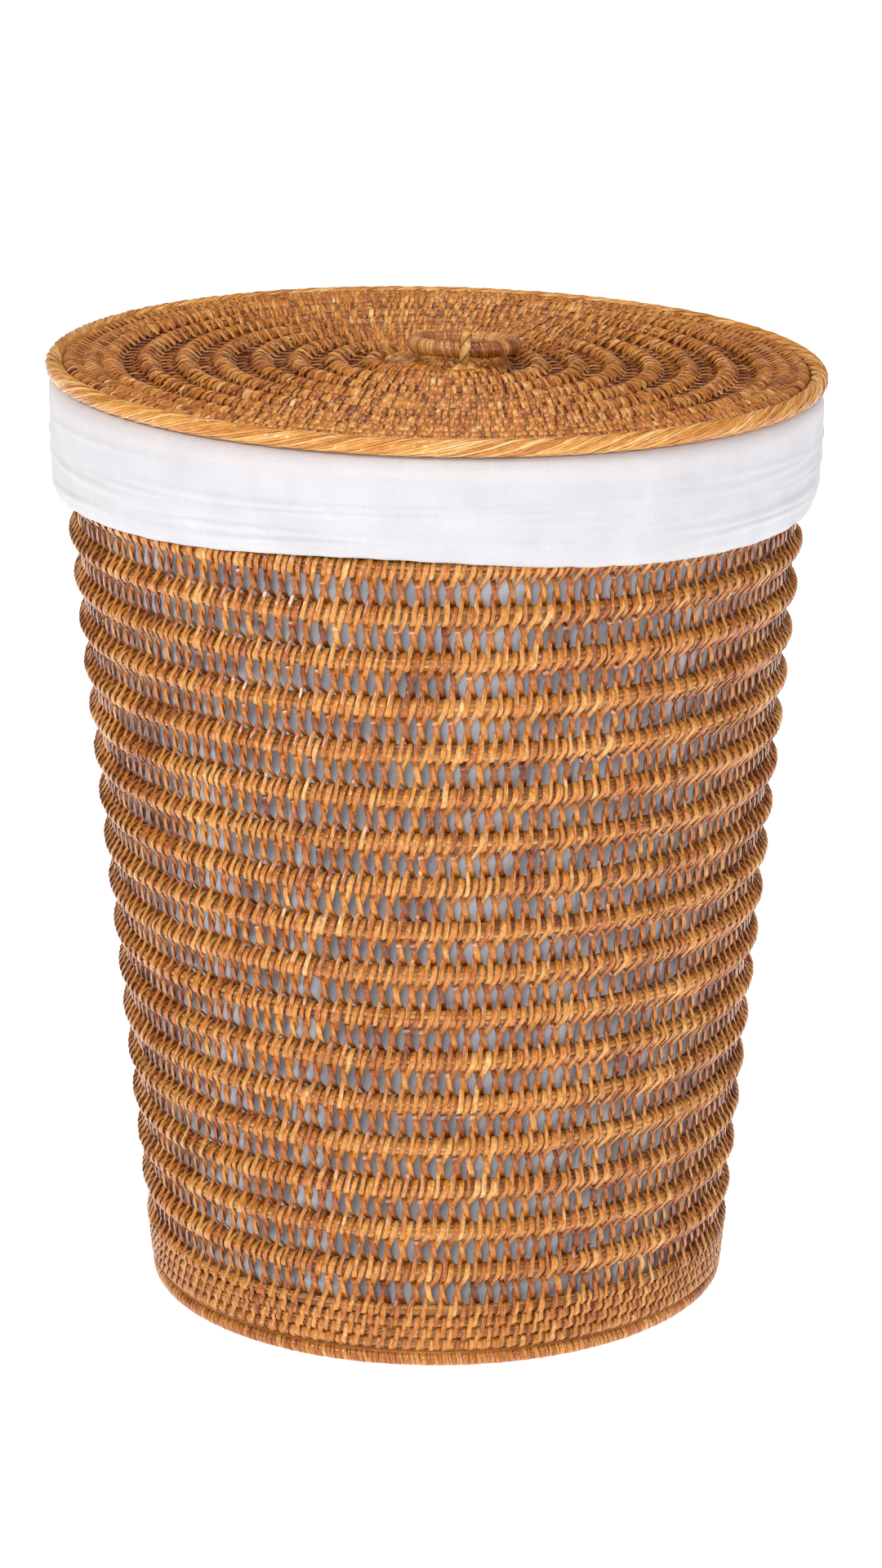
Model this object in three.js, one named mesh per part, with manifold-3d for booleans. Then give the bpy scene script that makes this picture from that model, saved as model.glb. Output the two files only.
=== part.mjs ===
// Round woven rattan laundry hamper with a lift-off lid, a cotton liner turned down over the rim,
// and a cane-bound ring handle tied to the lid.
// Millimetres, +Z up. The origin is on the floor, at the centre of the foot hoop, and the front is -Y.

import * as THREE from 'three';
import { mergeVertices } from 'three/addons/utils/BufferGeometryUtils.js';
import Module from 'manifold-3d';

const wasm = await Module();
wasm.setup();

// Driving dimensions
const LID_RADIUS = 230;            // outside of the lid's rope border
const LID_BOTTOM = 557.5;          // underside of the lid above the floor
const LID_TOP = 567.5;             // crests of the lid's coils
const WALL_RADIUS_LOW = 176.2;     // outside of the woven wall at WALL_LOW
const WALL_RADIUS_HIGH = 225.7;    // outside of the woven wall at WALL_HIGH
const WALL_LOW = 10;
const WALL_HIGH = 560;
const TOP_TILT = THREE.MathUtils.degToRad(1.2);   // the rim sits lower on +X, as the spiral leaves it
const TILT_HEIGHT = 550;           // height of the point that the rim and lid are tilted about

const COIL_PITCH = 26.95;          // rise of the open spiral in one turn
const COIL_RADIUS = 5.3;           // half the thickness of the wrapped coil
const LOWEST_OPEN_ROW = 59.9;      // height of the lowest open row at the front
const OPEN_TURNS = 18;
const TOP_TURN_EXTRA = 30;         // degrees that the topmost turn runs on, up under the rim
const SPIRAL_UNEVENNESS = 3;       // the front half of a turn falls this much less on each side

const FRONT = 270;                 // degrees round from +X to the front
const END_CLEARANCE = 0.06;        // degrees cut from each end of a turn, so that the turns' ends don't meet
const WRAP_PROUD = 0.1;            // the widest part of the cane wraps, outside the coil's section

const DENSE_ROWS = 4;
const DENSE_PITCH = 7.2;
const DENSE_TOP_ROW = 36.6;        // height of the highest dense row at the front
const DENSE_RADIUS = 3.5;

const LACING_THICKNESS = 1.2;
const LACING_GAP = 0.6;            // between the coil and the lacing's skin
const DENSE_LACING_BOTTOM = 9;
const DENSE_LACING_TOP = 42;
const OPEN_LACING_TOP = 543.5;

const FOOT_CENTRE_RADIUS = 171.2;  // centreline of the foot hoop
const FOOT_TUBE_RADIUS = 4.1;      // to the corners of its six-sided section
const FOOT_TUBE_HEIGHT = FOOT_TUBE_RADIUS * Math.sin(Math.PI / 3);   // its flat side is on the floor
const RIM_CENTRE_RADIUS = 219.3;   // centreline of the basket's rim hoop
const RIM_TUBE_RADIUS = 5.5;
const RIM_HEIGHT = 549.9;

const BASE_HEIGHT = 9.4;           // underside of the base's coil
const BASE_THICKNESS = 7;
const BASE_COIL_START = 7;         // radius of the spiral's inner end
const BASE_COIL_PITCH = 20;
const BASE_RADIUS = 163;

const CLOTH = 1.2;                 // the liner's two layers of cotton and their seams
const LINER_CLEARANCE = 15.5;      // from the outside of the wall in to the liner
const LINER_BOTTOM = 22;
const LINER_TOP = 551;
const CUFF_RADIUS = 227.1;         // outside of the turned-down cuff
const CUFF_BOTTOM = 492;
const CUFF_TOP = 556.9;
const HEM_BOTTOM = 489.4;

const LID_COIL_FIRST = 38;         // centre radius of the innermost open coil
const LID_COIL_PITCH = 22;
const LID_COILS = 8;
const LID_COIL_WIDTH = 10.4;
const LID_BORDER_RADII = [203.7, 214.4];
const LID_BORDER_WIDTH = 9.8;
const LID_SHOULDER = 3;            // from a coil's crest down to where its sides start
const LID_CROWN = 0.55;            // flat part of a coil's crest, as a share of its width
const LID_CENTRE_GAP = 2;          // from the woven centre to the innermost coil
const LID_CENTRE_DIP = 2.5;        // the woven centre's edge below the coils' crests
const LID_LACING_THICKNESS = 1;
const CENTRE_HOLE_RADIUS = 3;
const LOCATING_RING_RADIUS = 203;
const LOCATING_RING_WIDTH = 6;
const LOCATING_RING_BOTTOM = 549.5;

const HANDLE_RADIUS = 29;          // centreline of the ring handle
const HANDLE_TUBE_RADIUS = 5;
const TIE_X = 16;                  // where the tie holds the ring
const TIE_Y = -27;
const TIE_HEIGHT = 577.5;          // centre of the ring's tube in the tie
const TIE_LOOP_RISE = 1.2;         // centre of the tie's loop, above the ring's tube
const TIE_LOOP_RADIUS = 8.6;
const TIE_STRAND_RADIUS = 1.9;
const TIE_FOOT_RADIUS = 5;

const GAP = 0.3;                   // between pieces that touch
const SEGMENTS = 24;               // facets round a full turn
const SMALL_SEGMENTS = 16;         // facets round the handle and the lid's innermost coils
const SLEEVE_SLIT = 1;             // opening of a cane sleeve, on the side facing its hoop's axis
const SLEEVE_WALL = 1.5;           // cane wrapped over a hoop's core

const MATERIALS = {
  wrapped_cane: { color: 0xb9752f, roughness: 0.45, metalness: 0 },
  reed_core: { color: 0x8a4a20, roughness: 0.6, metalness: 0 },
  lacing_cane: { color: 0x96541f, roughness: 0.5, metalness: 0 },
  rope_border: { color: 0xc98a3a, roughness: 0.5, metalness: 0 },
  handle_cane: { color: 0x8f4a1e, roughness: 0.35, metalness: 0 },
  cotton: { color: 0xe9e7f0, roughness: 0.9, metalness: 0 },
};

const group = new THREE.Group();
group.name = 'laundry_basket_woven';
const tiltedTop = new THREE.Group();    // the rim, the cuff and the lid, in their own level frame
tiltedTop.position.z = TILT_HEIGHT;
tiltedTop.rotation.y = TOP_TILT;
group.add(tiltedTop);

function addPiece(name, geometry, material, parent = group) {
  const mesh = new THREE.Mesh(geometry, new THREE.MeshStandardMaterial(MATERIALS[material]));
  mesh.name = name;
  if (parent === tiltedTop) geometry.translate(0, 0, -TILT_HEIGHT);
  parent.add(mesh);
  return mesh;
}

// Outside radius of the woven wall at a height above the floor.
function wallRadius(z) {
  const slope = (WALL_RADIUS_HIGH - WALL_RADIUS_LOW) / (WALL_HIGH - WALL_LOW);
  return WALL_RADIUS_LOW + slope * (z - WALL_LOW);
}

// A closed outline of [radius, height] corners, counter-clockwise, turned about Z.
function turned(outline, segments = SEGMENTS) {
  const points = [...outline, outline[0]].map(([r, z]) => new THREE.Vector2(r, z));
  return new THREE.LatheGeometry(points, segments).rotateX(Math.PI / 2);
}

// Corners of a regular polygon round a centre, with a flat side at the bottom.
function polygon(centreR, centreZ, radius, sides) {
  return Array.from({ length: sides }, (_, i) => {
    const angle = -Math.PI / 2 + ((i + 0.5) * 2 * Math.PI) / sides;
    return [centreR + radius * Math.cos(angle), centreZ + radius * Math.sin(angle)];
  });
}

// A sleeve of cane round a hoop: a six-sided tube outline with a slit on the side facing the axis.
function sleeve(centreR, centreZ, outerRadius, innerRadius) {
  const corners = [0, 1, 2, 3, 4, 5, 6];
  const corner = (radius, i) => {
    const edge = Math.asin(SLEEVE_SLIT / 2 / radius);
    const angle = -Math.PI + (i * Math.PI) / 3 + (i === 0 ? edge : 0) - (i === 6 ? edge : 0);
    return [centreR + radius * Math.cos(angle), centreZ + radius * Math.sin(angle)];
  };
  const outer = corners.map((i) => corner(outerRadius, i));
  const inner = corners.map((i) => corner(innerRadius, i)).reverse();
  return [...outer, ...inner];
}

// The centreline of a coil that runs round the hamper, given by its radius and height at each angle.
class CoilCurve extends THREE.Curve {
  constructor(startDegrees, endDegrees, radiusAt, heightAt) {
    super();
    Object.assign(this, { startDegrees, endDegrees, radiusAt, heightAt });
  }

  getPoint(t, target = new THREE.Vector3()) {
    const degrees = THREE.MathUtils.lerp(this.startDegrees, this.endDegrees, t);
    const angle = THREE.MathUtils.degToRad(degrees);
    const radius = this.radiusAt(degrees);
    return target.set(radius * Math.cos(angle), radius * Math.sin(angle), this.heightAt(degrees));
  }
}

// A solid coil of regular section along a coil curve.
function coil(curve, sectionRadius, sides) {
  const corners = polygon(0, 0, sectionRadius, sides).map(([x, y]) => new THREE.Vector2(x, y));
  const turns = Math.abs(curve.endDegrees - curve.startDegrees) / 360;
  const steps = Math.max(2, Math.round(turns * SEGMENTS));
  return new THREE.ExtrudeGeometry(new THREE.Shape(corners), { extrudePath: curve, steps });
}

function toManifold(geometry) {
  const bare = geometry.clone();
  bare.deleteAttribute('normal');
  bare.deleteAttribute('uv');
  const merged = mergeVertices(bare, 1e-4);
  return new wasm.Manifold(new wasm.Mesh({
    numProp: 3,
    vertProperties: new Float32Array(merged.attributes.position.array),
    triVerts: new Uint32Array(merged.index.array),
  }));
}

function joined(...geometries) {
  const mesh = geometries.map(toManifold).reduce((a, b) => a.add(b)).getMesh();
  const result = new THREE.BufferGeometry();
  result.setAttribute('position', new THREE.BufferAttribute(new Float32Array(mesh.vertProperties), 3));
  result.setIndex([...mesh.triVerts]);
  return result;
}

// A hoop of reed bound with cane: a sleeve, and the core inside it.
function buildBoundHoop(name, material, centreR, centreZ, tubeRadius, parent, segments = SEGMENTS) {
  const coreRadius = tubeRadius - SLEEVE_WALL - GAP;
  addPiece(`${name}_core`, turned(polygon(centreR, centreZ, coreRadius, 4), segments), 'reed_core', parent);
  const outline = sleeve(centreR, centreZ, tubeRadius, tubeRadius - SLEEVE_WALL + GAP);
  return addPiece(`${name}_binding`, turned(outline, segments), material, parent);
}

// The open part of the wall: one spiral coil, a node for each turn, numbered from the bottom.
// A turn starts high at the back, runs counter-clockwise past the front and ends low at the back.
function buildOpenTurns() {
  for (let turn = 0; turn < OPEN_TURNS; turn += 1) {
    const isTop = turn === OPEN_TURNS - 1;
    const frontHeight = LOWEST_OPEN_ROW + COIL_PITCH * turn;
    const heightAt = (degrees) => {
      const past = degrees - FRONT;
      return frontHeight - (COIL_PITCH * past) / 360
        + SPIRAL_UNEVENNESS * Math.sin(THREE.MathUtils.degToRad(past));
    };
    const radiusAt = (degrees) => wallRadius(heightAt(degrees)) - COIL_RADIUS - WRAP_PROUD;
    const start = FRONT - 180 - (isTop ? TOP_TURN_EXTRA : 0) + END_CLEARANCE;
    const curve = new CoilCurve(start, FRONT + 180 - END_CLEARANCE, radiusAt, heightAt);
    addPiece(`wall_turn_${String(turn + 1).padStart(2, '0')}`, coil(curve, COIL_RADIUS, 6), 'wrapped_cane');
  }
}

// The closely woven bottom of the wall, where the same coil is thinner and its turns touch.
function buildDenseRows() {
  for (let row = 0; row < DENSE_ROWS; row += 1) {
    const frontHeight = DENSE_TOP_ROW - DENSE_PITCH * (DENSE_ROWS - 1 - row);
    const heightAt = (degrees) => frontHeight - (DENSE_PITCH * (degrees - FRONT)) / 360;
    const radiusAt = (degrees) => wallRadius(heightAt(degrees)) - DENSE_RADIUS - WRAP_PROUD;
    const curve = new CoilCurve(
      FRONT - 180 + END_CLEARANCE, FRONT + 180 - END_CLEARANCE, radiusAt, heightAt,
    );
    addPiece(`wall_dense_row_${row + 1}`, coil(curve, DENSE_RADIUS, 6), 'wrapped_cane');
  }
}

// The cane strips that lace the coil's turns together, as a thin skin on the coil's inner side.
function buildWallLacing(name, bottom, top, coilRadius) {
  const outerAt = (z) => wallRadius(z) - 2 * coilRadius - WRAP_PROUD - LACING_GAP;
  addPiece(name, turned([
    [outerAt(bottom), bottom],
    [outerAt(top), top],
    [outerAt(top) - LACING_THICKNESS, top],
    [outerAt(bottom) - LACING_THICKNESS, bottom],
  ]), 'lacing_cane');
}

// The base: a flat spiral of coil, with its lacing over it as a thin sheet that the liner rests on.
function buildBase() {
  const turns = Math.floor((BASE_RADIUS - BASE_THICKNESS - BASE_COIL_START) / BASE_COIL_PITCH);
  const outerRadius = BASE_COIL_START + turns * BASE_COIL_PITCH;
  const middle = BASE_HEIGHT + BASE_THICKNESS / 2;
  const curve = new CoilCurve(
    0, turns * 360, (degrees) => BASE_COIL_START + (degrees / 360) * BASE_COIL_PITCH, () => middle,
  );
  addPiece('base_coil', coil(curve, BASE_THICKNESS / Math.SQRT2, 4), 'wrapped_cane');
  const edge = outerRadius + BASE_THICKNESS / 2 + 1;
  addPiece('base_edge_coil', turned([
    [edge, BASE_HEIGHT], [BASE_RADIUS, BASE_HEIGHT],
    [BASE_RADIUS, BASE_HEIGHT + BASE_THICKNESS], [edge, BASE_HEIGHT + BASE_THICKNESS],
  ]), 'wrapped_cane');
  const lacingBottom = BASE_HEIGHT + BASE_THICKNESS + 2 * GAP;
  addPiece('base_lacing', turned([
    [0, lacingBottom], [BASE_RADIUS, lacingBottom],
    [BASE_RADIUS, lacingBottom + 1], [0, lacingBottom + 1],
  ]), 'lacing_cane');
}

// The cotton liner: a bag inside the basket, turned out over the rim as a cuff with a hem.
// The bag's top edge follows the tilted rim.
function buildLiner() {
  const outerAt = (z) => wallRadius(z) - LINER_CLEARANCE;
  const bag = turned([
    [outerAt(LINER_BOTTOM), LINER_BOTTOM],
    [outerAt(LINER_TOP), LINER_TOP],
    [outerAt(LINER_TOP) - CLOTH, LINER_TOP],
    [outerAt(LINER_BOTTOM) - CLOTH, LINER_BOTTOM],
  ]);
  const corners = bag.attributes.position;
  for (let i = 0; i < corners.count; i += 1) {
    const isTopEdge = corners.getZ(i) > LINER_TOP - 1;
    if (isTopEdge) corners.setZ(i, corners.getZ(i) - Math.tan(TOP_TILT) * corners.getX(i));
  }
  addPiece('liner_bag_wall', bag, 'cotton');
  const floorRadius = outerAt(LINER_BOTTOM) - CLOTH - 2 * GAP;
  addPiece('liner_bag_bottom', turned([
    [0, LINER_BOTTOM], [floorRadius, LINER_BOTTOM],
    [floorRadius, LINER_BOTTOM + CLOTH], [0, LINER_BOTTOM + CLOTH],
  ]), 'cotton');
  const foldInner = outerAt(LINER_TOP) - CLOTH;
  addPiece('liner_cuff', turned([
    [CUFF_RADIUS, CUFF_BOTTOM], [CUFF_RADIUS, CUFF_TOP], [foldInner, CUFF_TOP],
    [foldInner, CUFF_TOP - CLOTH], [CUFF_RADIUS - CLOTH, CUFF_TOP - CLOTH],
    [CUFF_RADIUS - CLOTH, CUFF_BOTTOM],
  ]), 'cotton', tiltedTop);
  const hemTop = CUFF_BOTTOM - GAP;
  addPiece('liner_hem', turned([
    [CUFF_RADIUS + GAP, HEM_BOTTOM], [CUFF_RADIUS + GAP, hemTop],
    [CUFF_RADIUS - CLOTH - GAP, hemTop], [CUFF_RADIUS - CLOTH - GAP, HEM_BOTTOM],
  ]), 'cotton', tiltedTop);
}

// A ring of the lid's coil: flat below, where the lacing runs, and rounded on top.
function lidRing(centreRadius, width, segments = SEGMENTS) {
  const bottom = LID_BOTTOM + LID_LACING_THICKNESS + GAP;
  const half = width / 2;
  const shoulder = LID_TOP - LID_SHOULDER;
  const crown = half * LID_CROWN;
  return turned([
    [centreRadius - half, bottom], [centreRadius + half, bottom],
    [centreRadius + half, shoulder], [centreRadius + crown, LID_TOP],
    [centreRadius - crown, LID_TOP], [centreRadius - half, shoulder],
  ], segments);
}

// The lid: a woven centre, eight open coils, two close coils and a rope border.
function buildLid() {
  const bottom = LID_BOTTOM + LID_LACING_THICKNESS + GAP;
  const centreEdge = LID_COIL_FIRST - LID_COIL_WIDTH / 2 - LID_CENTRE_GAP;
  addPiece('lid_centre', turned([
    [CENTRE_HOLE_RADIUS, bottom], [centreEdge, bottom],
    [centreEdge, LID_TOP - LID_CENTRE_DIP], [CENTRE_HOLE_RADIUS, LID_TOP - 1],
  ], SMALL_SEGMENTS), 'wrapped_cane', tiltedTop);
  for (let ring = 0; ring < LID_COILS; ring += 1) {
    const radius = LID_COIL_FIRST + ring * LID_COIL_PITCH;
    const segments = ring < 2 ? SMALL_SEGMENTS : SEGMENTS;
    addPiece(`lid_coil_${ring + 1}`, lidRing(radius, LID_COIL_WIDTH, segments), 'wrapped_cane', tiltedTop);
  }
  LID_BORDER_RADII.forEach((radius, i) => {
    addPiece(`lid_border_coil_${i + 1}`, lidRing(radius, LID_BORDER_WIDTH), 'wrapped_cane', tiltedTop);
  });
  const borderTube = (LID_TOP - LID_BOTTOM) / 2;
  buildBoundHoop(
    'lid_rope_border', 'rope_border', LID_RADIUS - borderTube, LID_BOTTOM + borderTube, borderTube, tiltedTop,
  );
  const lacingEdge = LID_BORDER_RADII.at(-1) + LID_BORDER_WIDTH / 2 - 1;
  addPiece('lid_lacing', turned([
    [CENTRE_HOLE_RADIUS, LID_BOTTOM], [lacingEdge, LID_BOTTOM],
    [lacingEdge, LID_BOTTOM + LID_LACING_THICKNESS], [CENTRE_HOLE_RADIUS, LID_BOTTOM + LID_LACING_THICKNESS],
  ]), 'lacing_cane', tiltedTop);
  const half = LOCATING_RING_WIDTH / 2;
  addPiece('lid_locating_ring', turned([
    [LOCATING_RING_RADIUS - half, LOCATING_RING_BOTTOM], [LOCATING_RING_RADIUS + half, LOCATING_RING_BOTTOM],
    [LOCATING_RING_RADIUS + half, LID_BOTTOM - GAP], [LOCATING_RING_RADIUS - half, LID_BOTTOM - GAP],
  ]), 'wrapped_cane', tiltedTop);
}

// The tie: a loop of twisted cane that holds the ring handle, on a splayed foot sewn to the lid.
function buildTie() {
  const loopHeight = TIE_HEIGHT + TIE_LOOP_RISE;
  const loop = turned(polygon(TIE_LOOP_RADIUS, 0, TIE_STRAND_RADIUS, 6), SMALL_SEGMENTS);
  loop.rotateY(Math.PI / 2).translate(TIE_X, TIE_Y, loopHeight);
  const footBottom = LID_TOP + GAP;
  const footTop = loopHeight - TIE_LOOP_RADIUS;
  const foot = new THREE.CylinderGeometry(TIE_STRAND_RADIUS, TIE_FOOT_RADIUS, footTop - footBottom, 8);
  foot.rotateX(Math.PI / 2).translate(TIE_X, TIE_Y, (footTop + footBottom) / 2);
  addPiece('handle_tie', joined(loop, foot), 'handle_cane', tiltedTop);
}

// The ring handle: a hoop bound with cane, which lies back on the lid from its tie.
function buildHandle() {
  const drop = TIE_HEIGHT - LID_TOP - HANDLE_TUBE_RADIUS - GAP;
  const recline = Math.asin(drop / (2 * HANDLE_RADIUS));
  const ring = new THREE.Group();
  ring.position.set(TIE_X, TIE_Y, TIE_HEIGHT - TILT_HEIGHT);
  ring.rotation.x = -recline;
  tiltedTop.add(ring);
  buildBoundHoop(
    'handle_ring', 'handle_cane', HANDLE_RADIUS, 0, HANDLE_TUBE_RADIUS, ring, SMALL_SEGMENTS,
  );
  ring.children.forEach((mesh) => mesh.geometry.translate(0, HANDLE_RADIUS, 0));
}

buildBoundHoop('foot_hoop', 'wrapped_cane', FOOT_CENTRE_RADIUS, FOOT_TUBE_HEIGHT, FOOT_TUBE_RADIUS, group);
buildBase();
buildDenseRows();
buildWallLacing('wall_lacing_dense', DENSE_LACING_BOTTOM, DENSE_LACING_TOP, DENSE_RADIUS);
buildOpenTurns();
buildWallLacing('wall_lacing_open', DENSE_LACING_TOP + 1, OPEN_LACING_TOP, COIL_RADIUS);
buildBoundHoop('rim_hoop', 'wrapped_cane', RIM_CENTRE_RADIUS, RIM_HEIGHT, RIM_TUBE_RADIUS, tiltedTop);
buildLiner();
buildLid();
buildTie();
buildHandle();

export default group;
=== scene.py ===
"""Looks for the woven laundry basket: coils, cane strips and cotton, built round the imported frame."""

import math

import bpy
import numpy as np
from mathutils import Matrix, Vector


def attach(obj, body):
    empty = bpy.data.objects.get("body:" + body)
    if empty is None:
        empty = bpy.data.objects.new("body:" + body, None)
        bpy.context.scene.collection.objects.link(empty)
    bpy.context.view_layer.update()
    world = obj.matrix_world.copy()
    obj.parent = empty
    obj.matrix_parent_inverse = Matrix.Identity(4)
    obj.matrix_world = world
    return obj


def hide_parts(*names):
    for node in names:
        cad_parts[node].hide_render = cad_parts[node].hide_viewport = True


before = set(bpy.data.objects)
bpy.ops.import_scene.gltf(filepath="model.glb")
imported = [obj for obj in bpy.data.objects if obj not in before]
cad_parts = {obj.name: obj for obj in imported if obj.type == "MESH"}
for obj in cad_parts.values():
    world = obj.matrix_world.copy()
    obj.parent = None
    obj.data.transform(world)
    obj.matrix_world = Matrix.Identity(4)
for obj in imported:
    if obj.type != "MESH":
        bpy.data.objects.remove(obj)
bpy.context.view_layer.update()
random = np.random.default_rng(20)

# ---------------- sizes, in metres
MM = 0.001
TURN = 2 * math.pi
FRONT = math.radians(270)  # the side that the camera sees

WALL_RADIUS = 176.2 * MM  # outside of the wall, at the height of WALL_FOOT
WALL_FOOT = 10 * MM
WALL_SLOPE = 0.09  # the wall leans outwards
TOP_TILT = math.radians(1.2)  # the rim and the lid sit lower on +X
TOP_PIVOT = 550 * MM  # height of the point that they are tilted about

COIL_PITCH = 26.95 * MM  # the open rows
UNEVENNESS = 3 * MM
LOWEST_OPEN_ROW = 59.9 * MM
OPEN_TURNS = 18
RUN_IN = 6.2 * MM  # the coil drops this much as it settles on the dense rows
RUN_IN_FROM = math.radians(70)
DENSE_ROWS = 4
DENSE_PITCH = 7.2 * MM
DENSE_TOP_ROW = 36.6 * MM
DENSE_DROP = 0.8 * MM

STITCH = 8.9 * MM  # width of a stitch of the open weave
DENSE_STITCH = 7.9 * MM  # and of the dense rows
STITCH_DRIFT = 0.27  # how far each row's stitches run on from those below, in stitches
WALL_STRIPS = 0.97  # size of the wall's crossing strips
LID_STRIPS = 0.82  # and of the lid's
WALL_STEPS = 131  # points along each turn of the wall's reeds
CLOSE_STRIP = 3 * MM  # width of a strip of the close weave

COIL_CORE = 4.95 * MM  # radius of the bundle of reeds in the open coil
DENSE_CORE = 3.2 * MM
CANE = 0.6 * MM  # thickness of a cane strip
WRAP = 0.8 * MM  # and of one that wraps an open coil
RIM_RADIUS = 219.3 * MM
RIM_HEIGHT = 549.9 * MM
RIM_CORE = 4.6 * MM
FOOT_RADIUS = 171.2 * MM
FOOT_HEIGHT = 4.2 * MM
FOOT_CORE = 3.7 * MM

BASE_START = 7 * MM
BASE_PITCH = 20 * MM
BASE_TURNS = 7
BASE_MIDDLE = 12.9 * MM  # height of the base's coils
BASE_CORE = 2.9 * MM
BASE_STITCH = 10 * MM
BASE_EDGE_RINGS = [154.8 * MM, 160 * MM]
BASE_EDGE_CORE = 2.3 * MM
BASE_EDGE_STITCHES = 130

LID_HEIGHT = 562.5 * MM  # centres of the lid's coils, before the tilt
LID_TOP = 567.5 * MM  # where the ring handle lies, before the tilt
LID_CORE = 4.3 * MM
LID_PITCH = 22 * MM
LID_RINGS = [38 * MM + LID_PITCH * ring for ring in range(8)]
LID_CENTRE_RINGS = [9 * MM, 18 * MM, 27 * MM]
LID_CENTRE_CORE = 2.7 * MM
LID_BORDER_RINGS = [203.7 * MM, 214.4 * MM]
LID_BORDER_CORE = 3.9 * MM
LID_ROPE_RADIUS = 225 * MM
LID_ROPE_TUBE = 4.9 * MM
LID_ROPE_CORE = 3.6 * MM
LOCATING_RADIUS = 203 * MM  # the ring under the lid
LOCATING_HEIGHT = 553.6 * MM
LOCATING_CORE = 2.6 * MM

HANDLE_RADIUS = 29 * MM
HANDLE_TUBE = 5 * MM
TIE = np.array([16, -27, 577.5]) * MM

CLOTH = 0.9 * MM  # thickness of the cotton
BAG_INSET = 12 * MM  # how far inside the wall the bag hangs
BAG_FLOOR = 22 * MM
BAG_LOW, BAG_HIGH = BAG_FLOOR + 0.5 * MM, 551 * MM


def wall_radius(height):
    """Outside radius of the woven wall."""
    return WALL_RADIUS + WALL_SLOPE * (height - WALL_FOOT)


def wander(angle, size, lowest=2, highest=9):
    """A smooth uneven line round the basket, the same at both ends of a turn."""
    total = np.zeros_like(angle)
    for wave in range(lowest, highest + 1):
        total += random.normal() * np.cos(wave * angle + random.uniform(0, TURN))
    return size * total / math.sqrt(highest - lowest + 1)


def tilted(points):
    """From the lid's own level frame to the frame of the basket."""
    x, y, z = np.moveaxis(np.asarray(points, float), -1, 0)
    c, s = math.cos(TOP_TILT), math.sin(TOP_TILT)
    rise = z - TOP_PIVOT
    return np.stack([x * c + rise * s, y, TOP_PIVOT + rise * c - x * s], -1)


# ---------------- meshes
def six_sided(edge=0.12, crown=0.72):
    """Section of a cane strip: flat below, a little crowned above, 2 wide and 1 thick."""
    return np.array([(-0.97, -0.5), (0.97, -0.5), (1, edge), (crown, 0.5), (-crown, 0.5), (-1, edge)])


def reed_section(reeds, points_each=4):
    """Section of a bundle of reeds, of radius 1, with a groove between neighbours."""
    turn = np.arange(reeds * points_each) / points_each
    bulge = np.abs(np.sin(math.pi * (turn % 1))) ** 0.6
    radius = 0.83 + 0.17 * bulge
    angle = TURN * turn / reeds
    return np.stack([radius * np.cos(angle), radius * np.sin(angle)], -1)


def strips(paths, sides, widths, thickness, tones, section=None, closed=False, roll=None):
    """Solid strips along many paths at once. paths and sides are (strips, steps, 3): points, and which way
    the width runs there. roll turns a strip about its path. Returns points, quads and attributes."""
    section = six_sided() if section is None else section
    count, steps = paths.shape[:2]
    ahead = np.roll(paths, -1, 1) - np.roll(paths, 1, 1)
    if not closed:
        ahead[:, 0] = paths[:, 1] - paths[:, 0]
        ahead[:, -1] = paths[:, -1] - paths[:, -2]
    ahead /= np.linalg.norm(ahead, axis=-1, keepdims=True)
    side = sides - ahead * np.sum(sides * ahead, -1, keepdims=True)
    side /= np.linalg.norm(side, axis=-1, keepdims=True)
    face = np.cross(ahead, side)
    if roll is not None:
        c, s = np.cos(roll)[..., None], np.sin(roll)[..., None]
        side, face = side * c + face * s, face * c - side * s
    across, through = section[:, 0], section[:, 1]
    widths = np.broadcast_to(widths, (count, steps))
    thickness = np.broadcast_to(thickness, (count, steps))
    points = (paths[:, :, None]
              + side[:, :, None] * (across[:, None] * widths[:, :, None, None] / 2)
              + face[:, :, None] * (through[:, None] * thickness[:, :, None, None]))
    corners = len(section)
    index = np.arange(count * steps * corners).reshape(count, steps, corners)
    here, there = index[:, :-1], index[:, 1:]
    if closed:
        here, there = index, np.roll(index, -1, 1)
    quads = [np.stack([here, np.roll(here, -1, 2), np.roll(there, -1, 2), there], -1).reshape(-1, 4)]
    if not closed:
        for k in range(1, corners - 2, 2):
            quads.append(index[:, 0][:, [k + 2, k + 1, k, 0]])
            quads.append(index[:, -1][:, [0, k, k + 1, k + 2]])
    run = np.linalg.norm(np.diff(paths, axis=1), axis=-1)
    along = np.concatenate([np.zeros((count, 1)), np.cumsum(run, 1)], 1) / MM
    own = random.uniform(0, 60, count)
    shape = (count, steps, corners)
    grain = (along[:, :, None], across[None, None], own[:, None, None])
    grain = np.stack([np.broadcast_to(values, shape) for values in grain], -1)
    tones = np.asarray(tones, float)
    tones = tones.reshape(tones.shape + (1,) * (3 - tones.ndim))
    tone = np.broadcast_to(tones, shape)
    attributes = {"tone": tone.reshape(-1), "grain": grain.reshape(-1, 3)}
    return points.reshape(-1, 3), np.concatenate(quads), attributes


def joined(parts):
    """Points, quads and attributes of several parts as one."""
    start = np.cumsum([0] + [len(points) for points, _, _ in parts])
    return (np.concatenate([points for points, _, _ in parts]),
            np.concatenate([quads + start[i] for i, (_, quads, _) in enumerate(parts)]),
            {key: np.concatenate([a[key] for _, _, a in parts]) for key in parts[0][2]})


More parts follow.
